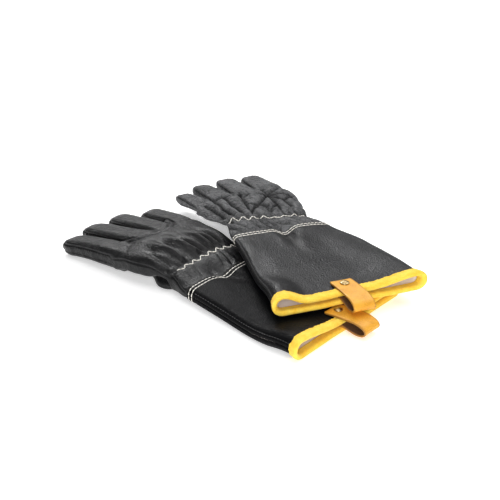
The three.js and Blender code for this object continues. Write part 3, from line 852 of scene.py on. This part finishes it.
def side_seam(p):
    """The seam where the back of the hand joins the palm, down both sides."""
    x, y, z = p.T
    half = through(x, HAND_HALF)
    middle = through(x, HAND_HEIGHT) + roll_at(x) * y
    side = smooth((np.abs(y) / half - 0.9) / 0.06) * smooth((262 - x) / 6)
    return side * (-1.1 * bump(z - middle - 1.2, 0.8) + 0.5 * bump(z - middle - 3.2, 1.2))


def cut_plane(a, b):
    """A vertical plane through two (x, y) places: a point of it, and its normal."""
    along = Vector((b[0] - a[0], b[1] - a[1], 0)).normalized()
    return Vector((a[0], a[1], 0)), Vector((-along.y, along.x, 0))


def cut(body, point, normal):
    """Keeps what is on the side that the normal points to, and closes the cut."""
    everything = body.verts[:] + body.edges[:] + body.faces[:]
    found = bmesh.ops.bisect_plane(body, geom=everything, plane_co=point, plane_no=normal, clear_inner=True)
    rim = [e for e in found["geom_cut"] if isinstance(e, bmesh.types.BMEdge) and e.is_valid]
    if rim:
        bmesh.ops.edgenet_fill(body, edges=rim)


ORDER = ["index", "middle", "ring", "little"]


def finger_planes(glove):
    """The cutting planes between neighbouring fingers, each facing the thumb's side."""
    planes = []
    fingers = fingers_of(glove)
    for one, other in zip(ORDER, ORDER[1:]):
        a, b = fingers[one], fingers[other]
        far = [mix(f["base"], f["tip"], 60 / f["length"]) for f in (a, b)]
        ends = np.array([(KNUCKLE_X, (a["base"] + b["base"]) / 2, 0.0), (KNUCKLE_X + 60, sum(far) / 2, 0.0)])
        glove.ease(ends)
        planes.append(cut_plane(ends[0], ends[1]))
    return planes


def hand_cuts(glove):
    """The planes that part the hand and each finger from their neighbours."""
    division, across = Vector((FINGER_CUT, 0, 0)), Vector((1, 0, 0))
    planes = finger_planes(glove)
    cuts = {"hand": [(division, -across)]}
    for i, name in enumerate(ORDER):
        before = [(point, -normal) for point, normal in planes[max(i - 1, 0):i]]
        cuts[name] = [(division, across)] + planes[i:i + 1] + before
    return cuts


def split_hand(glove, points, faces, dark, material):
    """Cuts the shaped hand into the hand and four fingers, and keeps its shading across the cuts."""
    whole = bpy.data.meshes.new("whole")
    whole.from_pydata([tuple(v) for v in points], [], faces)
    whole_normals = glove.turned(vectors(whole.vertex_normals, "vector"))
    tree = KDTree(len(points))
    for i, v in enumerate(points):
        tree.insert(v, i)
    tree.balance()
    made = {}
    for name, cuts in hand_cuts(glove).items():
        body = bmesh.new()
        body.from_mesh(whole)
        for point, normal in cuts:
            cut(body, point, normal)
        bmesh.ops.triangulate(body, faces=[f for f in body.faces if len(f.verts) > 4])
        mesh = bpy.data.meshes.new(name)
        body.to_mesh(mesh)
        body.free()
        places = vectors(mesh.vertices, "co")
        part = [list(f.vertices) for f in mesh.polygons]
        bpy.data.meshes.remove(mesh)
        obj = make(f"{glove.side}_{name}_leather", glove, places, part, material)
        nearest = [tree.find(v)[1] for v in places]
        normals = whole_normals[nearest]
        if (vectors(obj.data.vertex_normals, "vector") * normals).sum() < 0:
            normals = -normals
        obj.data.normals_split_custom_set_from_vertices([tuple(n) for n in normals])
        # The painted shade for the creases and seams, which the leather's colour reads.
        paint(obj, "groove", dark[nearest])
        made[name] = obj
    bpy.data.meshes.remove(whole)
    return made


def zigzag(glove, points, faces, material):
    """The zigzag row that holds the elastic: each straight run is two lengths of thread on the leather."""
    surface = BVHTree.FromPolygons([tuple(p) for p in points], faces)
    swing = ZIGZAG_SWING[glove.side]
    rows = np.arange(-ZIGZAG_REACH, ZIGZAG_REACH, ZIGZAG_PERIOD / 2)
    corners = [(WAIST_X + (swing if k % 2 else -swing), y) for k, y in enumerate(rows)]
    stitches = []
    for a, b in zip(corners, corners[1:]):
        for start, end in ((0.03, 0.5), (0.5, 0.97)):
            path, normals = [], []
            for t in np.linspace(start, end, 6):
                above = Vector((mix(a[0], b[0], t), mix(a[1], b[1], t), 90))
                hit, normal, _, _ = surface.ray_cast(above, Vector((0, 0, -1)))
                path.append(np.array(hit) + np.array(normal) * 0.28)
                normals.append(np.array(normal))
            path = np.array(path)
            taut = mix(path[0, 2], path[-1, 2], np.linspace(0, 1, 6))
            path[1:-1, 2] = np.maximum(path[1:-1, 2], taut[1:-1])
            stitches.append((path, normals, THREAD + 0.06))
    tube_points, tube_faces = capsule_chain(stitches)
    return make(f"{glove.side}_zigzag_stitches", glove, tube_points, tube_faces, material)


def thumb_rings():
    """The thumb's sections from its heel to its tip, with its hinge at x = 0."""
    across, up = section(2.5, 48)
    ends = np.cos(np.linspace(1.5, 0.1, 10))
    tip_start = THUMB_LENGTH - THUMB_TIP
    shaft = np.linspace(0, tip_start, 12)[1:]
    rings = []
    for x in np.concatenate([-THUMB_HEEL * ends[::-1], shaft, tip_start + THUMB_TIP * ends[1:]]):
        to_end = min(1.0, max(0.0, -x / THUMB_HEEL, (x - tip_start) / THUMB_TIP))
        narrowing = math.sqrt(max(0.0, 1 - to_end**2.2))
        share = max(0.0, x) / THUMB_LENGTH
        wide = mix(mix(THUMB_HEEL, 13, float(smooth(x / 24))), 11.5, share)
        thick = mix(5.3, 4.4, share)
        y = max(0.5, wide * narrowing) * across
        z = 0.7 + mix(5.4, 4.4, share) + max(0.5, thick * narrowing) * up
        rings.append(np.stack([np.full(len(y), x), y, z], axis=1))
    return rings


def thumb_piece(glove, material):
    """The thumb, folded flat under the palm: a soft closed shape with a seam round it.

    A round neck over the hinge joins it to the palm, so it stays joined as it swings.
    """
    body = bmesh.new()
    tube(thumb_rings(), body)
    points, faces, normals = remeshed(body, THUMB_VOXEL, 3)
    seam = -0.8 * bump(points[:, 2] - 6.6, 0.7) * smooth((np.abs(normals[:, :2]).max(axis=1) - 0.5) / 0.3)
    fine = 0.3 * noise(points, 9, 14) + 0.14 * noise(points, 4, 15)
    x, y, z = (points + normals * (seam + fine)[:, None]).T
    z = np.maximum(z, 0.4)
    z = z + THUMB_NECK[glove.side] * smooth((16 - np.hypot(x, y)) / 9) * smooth((z - 6) / 4)
    c, s = math.cos(math.radians(THUMB_TURN)), math.sin(math.radians(THUMB_TURN))
    points = np.stack([THUMB_HINGE[0] + c * x - s * y, THUMB_HINGE[1] + s * x + c * y, z], axis=1)
    return make(f"{glove.side}_thumb_leather", glove, points, faces, material)


# ---- the hanging strap and its rivet ----
STRAP_PATH = [
    (9, 2), (0, 2.5), (-6, 2.9), (-18, 2.9), (-29, 2.4), (-37.8, -0.6), (-41, -4.8), (-38, -8.4),
    (-30, -9.2), (-21, -7.4), (-14, -5.7), (-5, -5.5), (2, -4.4), (7, -4.1),
]


def curve_through(points, steps):
    """A Catmull-Rom curve with evenly spaced points."""
    p = np.array([points[0]] + list(points) + [points[-1]], float)
    fine = []
    for a, b, c, d in zip(p, p[1:], p[2:], p[3:]):
        for t in np.linspace(0, 1, 20, endpoint=False):
            bend = (2 * a - 5 * b + 4 * c - d) * t**2 + (3 * b - a - 3 * c + d) * t**3
            fine.append(0.5 * (2 * b + (c - a) * t + bend))
    fine.append(p[-1])
    fine = np.array(fine)
    run = np.concatenate([[0], np.cumsum(np.linalg.norm(np.diff(fine, axis=0), axis=1))])
    even = np.linspace(0, run[-1], steps)
    return np.stack([np.interp(even, run, fine[:, 0]), np.interp(even, run, fine[:, 1])], axis=1)


def strap_place(glove, local):
    """Points of the rivet's frame (x, across, height over the lip), in the glove's frame."""
    tilt = LEFT_TILT if glove.side == "left" else 0
    x, across, height = local.T
    return np.stack([RIVET_X + x, across, glove.lip + height - tilt * across], axis=1)


def strap_section():
    """Round the strap's section: -1 on the grain side to 1 on the flesh side, and how far across."""
    edge = 0.35
    half = [(-1, -STRAP_HALF + edge), (-0.6, -STRAP_HALF), (0.6, -STRAP_HALF), (1, -STRAP_HALF + edge)]
    half += [(1, v) for v in np.linspace(-STRAP_HALF + 2, STRAP_HALF - 2, 11)]
    return half + [(-side, -v) for side, v in half]


def hang_strap(glove, material):
    """The strap, looped down over the mouth, with its ends held by the rivet."""
    path = curve_through(STRAP_PATH, 72)
    tangent = np.gradient(path, axis=0)
    tangent /= np.linalg.norm(tangent, axis=1)[:, None]
    normal = np.stack([-tangent[:, 1], tangent[:, 0]], axis=1)
    outline = strap_section()
    rows, cols = len(path), len(outline)
    points = []
    for k, (at, n) in enumerate(zip(path, normal)):
        to_end = min(k, rows - 1 - k) / 2.0
        corner = 1 - 0.07 * max(0.0, 1 - to_end) ** 2
        for side, v in outline:
            crown = 0.35 * (1 - (v / STRAP_HALF) ** 2)
            q = at + n * (STRAP_HALF_THICK * side + crown)
            points.append((q[0], v * corner, q[1]))
    points = np.array(points)
    points[:, 2] += 0.18 * noise(points, 9, 16)
    points[:, 1] += 0.15 * noise(points, 6, 17)
    faces = [list(f) for f in grid_faces(rows, cols, False, True)]
    faces.append(list(range(cols))[::-1])
    faces.append([(rows - 1) * cols + k for k in range(cols)])
    obj = make(f"{glove.side}_hanging_strap", glove, strap_place(glove, points), faces, material)
    flesh = [1.0 if side > 0.8 else (0.5 if abs(side) < 0.8 else 0.0) for side, _ in outline]
    paint(obj, "flesh", flesh * rows)
    paint(obj, "edge", [smooth((abs(v) - STRAP_HALF + 1.4) / 1.4) for _, v in outline] * rows)
    return obj


def rivet(glove, material):
    """The domed cap over the strap, and the shank with its foot inside the cuff."""
    under = 2.5 + STRAP_HALF_THICK + 0.45
    cap = [(0, -0.6), (4.3, -0.6), (4.75, -0.2), (4.8, 0.3), (4.45, 0.75), (3.9, 0.95), (3.5, 1.0)]
    cap += [(3.2, 1.25), (2.4, 1.65), (1.3, 1.9), (0, 2.0)]
    cap = [(r, z + under) for r, z in cap]
    head = -7.4
    foot = [(0, head), (3.7, head), (4, head + 0.35), (4, head + 0.8), (2, head + 1), (2, 3.2), (0, 3.2)]
    turns = 2 * math.pi * np.arange(RIVET_SIDES) / RIVET_SIDES
    points, faces = [], []
    for profile in (cap, foot):
        first = len(points)
        for r, z in profile:
            points += [(max(r, 0.01) * math.cos(a), max(r, 0.01) * math.sin(a), z) for a in turns]
        last = len(points) - RIVET_SIDES
        faces += [list(f) for f in grid_faces(len(profile), RIVET_SIDES, False, True, first)]
        faces.append([first + k for k in range(RIVET_SIDES)][::-1])
        faces.append([last + k for k in range(RIVET_SIDES)])
    return make(f"{glove.side}_rivet", glove, strap_place(glove, np.array(points)), faces, material)


# ---- materials ----
class Shader:
    """A Principled material with a few helpers for its procedural inputs. Sizes are in millimetres."""

    def __init__(self, name, **values):
        self.material = bpy.data.materials.new(name)
        self.material.use_nodes = True
        self.tree = self.material.node_tree
        self.bsdf = self.tree.nodes["Principled BSDF"]
        for socket, value in values.items():
            self.put(self.bsdf.inputs[socket.replace("_", " ")], value)
        self.coords = self.tree.nodes.new("ShaderNodeTexCoord").outputs["Object"]

    def put(self, socket, value):
        """Links an output to a socket, or sets the socket to a plain value; a colour is given as RGB."""
        if isinstance(value, bpy.types.NodeSocket):
            self.tree.links.new(value, socket)
        elif socket.type == "RGBA":
            socket.default_value = (*value, 1)
        else:
            socket.default_value = value

    def add(self, kind, **inputs):
        node = self.tree.nodes.new("ShaderNode" + kind)
        for name, value in inputs.items():
            self.put(node.inputs[name], value)
        return node

    def mapped(self, stretch):
        if stretch is None:
            return self.coords
        return self.add("Mapping", Scale=stretch, Vector=self.coords).outputs["Vector"]

    def noise(self, size, detail=3, rough=0.55, stretch=None):
        place = self.mapped(stretch)
        node = self.add("TexNoise", Scale=1 / (size * MM), Detail=detail, Roughness=rough, Vector=place)
        return node.outputs["Fac"]

    def cells(self, size, feature="F1", stretch=None, warp=0):
        place = self.mapped(stretch)
        if warp:
            place = self.warped(place, size, warp)
        node = self.add("TexVoronoi", Scale=1 / (size * MM), Vector=place)
        node.feature = feature
        return node.outputs["Distance"]

    def warped(self, place, size, reach):
        """Pushes a place about by up to reach, so that cells lose their straight sides."""
        push = self.add("VectorMath")
        push.operation = "MULTIPLY_ADD"
        wander = self.add("TexNoise", Scale=1 / (size * MM), Detail=4, Vector=place).outputs["Color"]
        for socket, value in zip(push.inputs, (wander, (reach * MM,) * 3, place)):
            self.put(socket, value)
        return push.outputs["Vector"]

    def ramp(self, fac, stops):
        """A colour for a number: stops are (position, colour), and a plain number is a grey."""
        node = self.add("ValToRGB", Fac=fac)
        while len(node.color_ramp.elements) < len(stops):
            node.color_ramp.elements.new(0.5)
        for element, (position, colour) in zip(node.color_ramp.elements, stops):
            element.position = position
            element.color = (*colour, 1) if isinstance(colour, tuple) else (colour, colour, colour, 1)
        return node.outputs["Color"]

    def blend(self, fac, a, b, mode="MIX"):
        node = self.add("Mix")
        node.data_type = "RGBA"
        node.blend_type = mode
        for socket, value in ((0, fac), (6, a), (7, b)):
            self.put(node.inputs[socket], value)
        return node.outputs[2]

    def times(self, a, b):
        node = self.add("Math")
        node.operation = "MULTIPLY"
        self.put(node.inputs[0], a)
        self.put(node.inputs[1], b)
        return node.outputs["Value"]

    def attribute(self, name):
        node = self.add("Attribute")
        node.attribute_name = name
        return node.outputs["Fac"]

    def colour(self, value):
        self.put(self.bsdf.inputs["Base Color"], value)

    def roughness(self, value):
        self.put(self.bsdf.inputs["Roughness"], value)

    def bump(self, *layers):
        """Chains (height, strength, depth) bumps, and the last one shapes the surface."""
        normal = None
        for height, strength, depth in layers:
            node = self.add("Bump", Strength=strength, Distance=depth * MM, Height=height)
            if normal is not None:
                self.put(node.inputs["Normal"], normal)
            normal = node.outputs["Normal"]
        self.put(self.bsdf.inputs["Normal"], normal)


def black_leather(name, dark, light, rough, shine, grain, crinkle, shades_grooves):
    """Grain leather: pebbles, a soft mottle and crinkles, with painted shade in the cracks and, where the
    mesh marks them, in the creases and seams.
    """
    s = Shader(name, Specular_IOR_Level=shine)
    wide_cracks = s.cells(9, "DISTANCE_TO_EDGE", stretch=(1, 1.5, 1), warp=11)
    fine_cracks = s.cells(3.4, "DISTANCE_TO_EDGE", stretch=(1.4, 1, 1), warp=3)
    mottle = s.ramp(s.noise(28, 4), [(0.3, dark), (0.72, light)])
    fleck = s.ramp(s.noise(1.6, 2), [(0.35, 0.75), (0.7, 1.15)])
    colour = s.blend(1.0, mottle, fleck, "MULTIPLY")
    # Painted shade: the colour darkens in the crinkles' cracks, more the more crinkled the leather is.
    crack_shade = s.ramp(wide_cracks, [(0.0, 1 - 0.6 * crinkle), (0.1, 1.0)])
    colour = s.blend(1.0, colour, crack_shade, "MULTIPLY")
    # Painted shade: darker where the mesh marks the hand's creases and finger seams.
    if shades_grooves:
        colour = s.blend(s.attribute("groove"), colour, tuple(0.35 * c for c in dark))
    s.colour(colour)
    s.roughness(s.ramp(s.noise(9, 4), [(0.25, rough - 0.07), (0.8, rough + 0.09)]))
    pebbles = s.cells(grain)
    fine = s.noise(grain * 0.6, 3)
    folds = [
        (s.noise(6, 3), 0.35, 0.6),
        (s.ramp(wide_cracks, [(0.0, 0.0), (0.14, 1.0)]), crinkle, 0.7),
        (s.ramp(fine_cracks, [(0.0, 0.0), (0.2, 1.0)]), crinkle, 0.35),
    ]
    s.bump(*folds, (pebbles, 0.6, 0.5), (fine, 0.4, 0.2))
    return s.material


def split_leather(name):
    """Suede-like split leather with a short nap."""
    sheen = (1.0, 0.85, 0.5)
    s = Shader(name, Specular_IOR_Level=0.3, Sheen_Weight=0.2, Sheen_Roughness=0.5, Sheen_Tint=sheen)
    golds = [(0.25, (0.92, 0.51, 0.03)), (0.55, (1.0, 0.68, 0.075)), (0.8, (1.0, 0.785, 0.13))]
    tone = s.ramp(s.noise(11, 5, 0.65), golds)
    nap = s.ramp(s.noise(0.7, 3), [(0.3, 0.82), (0.7, 1.1)])
    s.colour(s.blend(1.0, tone, nap, "MULTIPLY"))
    s.roughness(s.ramp(s.noise(3), [(0.3, 0.72), (0.7, 0.9)]))
    s.bump((s.noise(2.2, 4), 0.5, 0.5), (s.noise(0.5, 3), 0.6, 0.25))
    return s.material


def strap_leather():
    """Vegetable-tanned leather: tan grain outside, brown flesh inside, darker cut edges."""
    s = Shader("tan_strap_leather", Specular_IOR_Level=0.45)
    tone = s.ramp(s.noise(14, 4), [(0.25, (0.70, 0.31, 0.022)), (0.75, (0.94, 0.47, 0.045))])
    scuff = s.ramp(s.noise(1.3, 4, 0.7), [(0.35, 0.8), (0.65, 1.08)])
    grain = s.blend(1.0, tone, scuff, "MULTIPLY")
    flesh = s.ramp(s.noise(1.0, 5, 0.7), [(0.3, (0.06, 0.026, 0.014)), (0.7, (0.17, 0.08, 0.04))])
    side = s.blend(s.attribute("flesh"), grain, flesh)
    s.colour(s.blend(s.times(s.attribute("edge"), 0.45), side, (0.20, 0.075, 0.012)))
    s.roughness(s.ramp(s.noise(6, 3), [(0.3, 0.42), (0.7, 0.6)]))
    s.bump((s.noise(3.5, 4), 0.3, 0.5), (s.cells(0.7), 0.25, 0.12))
    return s.material


def cotton(name):
    """Brushed cotton jersey."""
    s = Shader(name, Roughness=0.95, Specular_IOR_Level=0.2, Sheen_Weight=0.4, Sheen_Roughness=0.6)
    s.colour(s.ramp(s.noise(5, 4), [(0.3, (0.95, 0.82, 0.77)), (0.7, (1.0, 0.93, 0.89))]))
    weave = s.noise(0.8, 2, stretch=(1, 2.2, 1))
    s.bump((weave, 0.6, 0.3), (s.noise(4, 3), 0.3, 0.8))
    return s.material


def thread(name, tone, worn):
    """Twisted thread: a fine slanting ridge along it, and uneven dye."""
    s = Shader(name, Roughness=0.75, Specular_IOR_Level=0.3, Sheen_Weight=0.3)
    s.colour(s.ramp(s.noise(4, 3), [(0.3, worn), (0.65, tone)]))
    s.bump((s.noise(0.35, 2, stretch=(1, 1, 1.6)), 0.7, 0.15))
    return s.material


def aged_metal():
    """Antiqued brass, polished where it is rubbed."""
    s = Shader("antiqued_brass", Metallic=1.0)
    tones = [(0.3, (0.22, 0.15, 0.07)), (0.6, (0.58, 0.44, 0.22)), (0.8, (0.78, 0.64, 0.38))]
    s.colour(s.ramp(s.noise(2.2, 4), tones))
    s.roughness(s.ramp(s.noise(1.2, 3), [(0.3, 0.22), (0.75, 0.45)]))
    s.bump((s.noise(0.9, 3), 0.15, 0.1))
    return s.material


# Each leather's name, darkest and lightest tones, roughness, shine, grain in millimetres, how far it is
# crinkled, which also sets the painted shade in its cracks, and 1 where it gets painted shade in creases.
PAINTED_SHADE_CUFF, UPPER_CUFF, RIGHT_LEATHER, LEFT_LEATHER, THUMB_LEATHER = [black_leather(*row) for row in (
    # The right cuff's leather is a darker, duller copy of the left cuff's: painted shade, for where the left
    # cuff shadows it.
    ("painted_shade_cuff_black_leather", (0.003, 0.003, 0.0034), (0.0065, 0.0065, 0.0073), 0.47, 0.055, 1.8, 0.1, 0),
    ("upper_cuff_black_leather", (0.004, 0.004, 0.0046), (0.010, 0.010, 0.0113), 0.42, 0.23, 1.8, 0.1, 0),
    ("smooth_black_leather", (0.004, 0.004, 0.0045), (0.009, 0.009, 0.0095), 0.37, 0.27, 1.6, 0.25, 1),
    ("crinkled_grey_leather", (0.042, 0.043, 0.045), (0.155, 0.156, 0.161), 0.57, 0.4, 1.5, 1.0, 1),
    ("thumb_black_leather", (0.007, 0.007, 0.008), (0.015, 0.015, 0.016), 0.45, 0.3, 1.5, 0.3, 0),
)]
YELLOW = split_leather("golden_split_leather")
TAN = strap_leather()
LINING_CLOTH = cotton("brushed_cotton")
WHITE_THREAD = thread("off_white_thread", (1.0, 0.97, 0.9), (0.88, 0.84, 0.75))
BLACK_THREAD = thread("black_thread", (0.05, 0.05, 0.052), (0.025, 0.025, 0.026))
BRASS = aged_metal()


# ---- putting it together ----
def declare(piece, body, slot, *nodes):
    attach(piece, body)
    if nodes:
        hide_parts(*nodes)
    return piece


def build_glove(glove, cuff_leather, hand_leather):
    side = glove.side
    body = f"{side}_glove"
    skin = CuffSkin(glove)
    declare(cuff_panel(skin, "back", cuff_leather), body, "black_leather", f"{side}_cuff_back_panel")
    declare(cuff_panel(skin, "palm", cuff_leather), body, "black_leather", f"{side}_cuff_palm_panel")
    declare(cuff_lining(skin, LINING_CLOTH), body, "lining_cloth", f"{side}_cuff_lining")
    declare(cuff_binding(skin, YELLOW), body, "yellow_split_leather", f"{side}_cuff_binding")
    for row, x in SEAM_ROWS:
        stitches = seam_row(skin, f"cuff_seam_stitches_{row}", x, WHITE_THREAD)
        declare(stitches, body, "off_white_thread", f"{side}_cuff_seam_thread_{row}")
    declare(side_rows(skin, BLACK_THREAD), body, "black_leather")

    # dark is the painted shade of the creases and seams.
    points, faces, dark = shaped_hand(glove, hand_shape(glove))
    parts = split_hand(glove, points, faces, dark, hand_leather)
    hidden = [f"{side}_{n}" for n in ("hand_back", "hand_palm", "hand_lining", "wrist_elastic")]
    declare(parts["hand"], body, "black_leather", *hidden)
    start, end = glove.place([(BLEND_START, 0, 20), (BLEND_END, 0, 20)])
    for name in ORDER:
        piece = parts[name]
        nodes = [f"{side}_{name}_back", f"{side}_{name}_palm"]
        nodes += [f"{side}_{name}_{way}_side_strip" for way in FINGERS[name]["strips"]]
        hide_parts(*nodes)
        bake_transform(piece)
    zigzag_piece = zigzag(glove, points, faces, WHITE_THREAD)
    declare(zigzag_piece, body, "off_white_thread", f"{side}_wrist_zigzag_thread")
    thumb = thumb_piece(glove, hand_leather if side == "left" else THUMB_LEATHER)
    declare(thumb, f"{side}_thumb", "black_leather", f"{side}_thumb_back", f"{side}_thumb_palm")
    declare(hang_strap(glove, TAN), f"{side}_strap", "tan_leather", f"{side}_hang_strap")
    declare(rivet(glove, BRASS), f"{side}_strap", "aged_brass", f"{side}_rivet_cap", f"{side}_rivet_shank")


# ---- the scene ----
# Where the camera looks, in millimetres; degrees round from the front and up; how far off, in metres.
TARGET = (-27.74, 14.25, 0)
AZIMUTH = 38.4
ELEVATION = 26.6
DISTANCE = 1.7943
LENS = 118.38
FLOOR_HALF = 6  # metres
# Each lamp's place and size in metres, and its power in watts.
LAMPS = {
    "back_left": ((-1.2, 0.9, 1.2), (0.6, 0.45), 15),
    "back": ((-0.2, 1.3, 1.6), (1.4, 1.0), 20),
    "overhead": ((0.1, -0.3, 2.1), (1.8, 1.8), 18),
    "front": ((1.3, -1.5, 0.8), (1.2, 0.9), 27),
}


def aim(obj, place, towards):
    """Puts a camera or a lamp at a place and points it."""
    obj.location = place
    obj.rotation_euler = (Vector(towards) - Vector(place)).to_track_quat("-Z", "Y").to_euler()


def make_camera():
    azimuth, elevation = math.radians(AZIMUTH), math.radians(ELEVATION)
    out = math.cos(elevation)
    back = Vector((math.sin(azimuth) * out, -math.cos(azimuth) * out, math.sin(elevation)))
    data = bpy.data.cameras.new("camera")
    data.sensor_width = 36
    data.lens = LENS
    data.clip_end = 20
    camera = add_object("camera", data)
    target = Vector(TARGET) * MM
    aim(camera, target + back * DISTANCE, target)
    bpy.context.scene.camera = camera


def softbox(name, place, size, power):
    data = bpy.data.lights.new(name, "AREA")
    data.shape = "RECTANGLE"
    data.size, data.size_y = size
    data.energy = power
    aim(add_object(name, data), place, (0, 0, 0.02))


def make_stage():
    mesh = bpy.data.meshes.new("floor")
    h = FLOOR_HALF
    mesh.from_pydata([(-h, -h, 0), (h, -h, 0), (h, h, 0), (-h, h, 0)], [], [(0, 1, 2, 3)])
    s = Shader("white_floor", Roughness=0.6, Specular_IOR_Level=0.2, Emission_Strength=0.4)
    s.put(s.bsdf.inputs["Emission Color"], (1, 1, 1))
    s.colour(s.ramp(s.noise(400, 2), [(0.3, 0.93), (0.7, 0.95)]))
    mesh.materials.append(s.material)
    add_object("floor", mesh)
    world = bpy.data.worlds.new("studio")
    world.use_nodes = True
    world.node_tree.nodes["Background"].inputs["Color"].default_value = (1, 1, 1, 1)
    world.node_tree.nodes["Background"].inputs["Strength"].default_value = 0.22
    bpy.context.scene.world = world
    bpy.context.scene.view_settings.view_transform = "Standard"
    for name, (place, size, power) in LAMPS.items():
        softbox(name, place, size, power)


make_camera()
make_stage()
# The right glove's cuff gets the copy with painted shade.
build_glove(RIGHT, PAINTED_SHADE_CUFF, RIGHT_LEATHER)
build_glove(LEFT, UPPER_CUFF, LEFT_LEATHER)
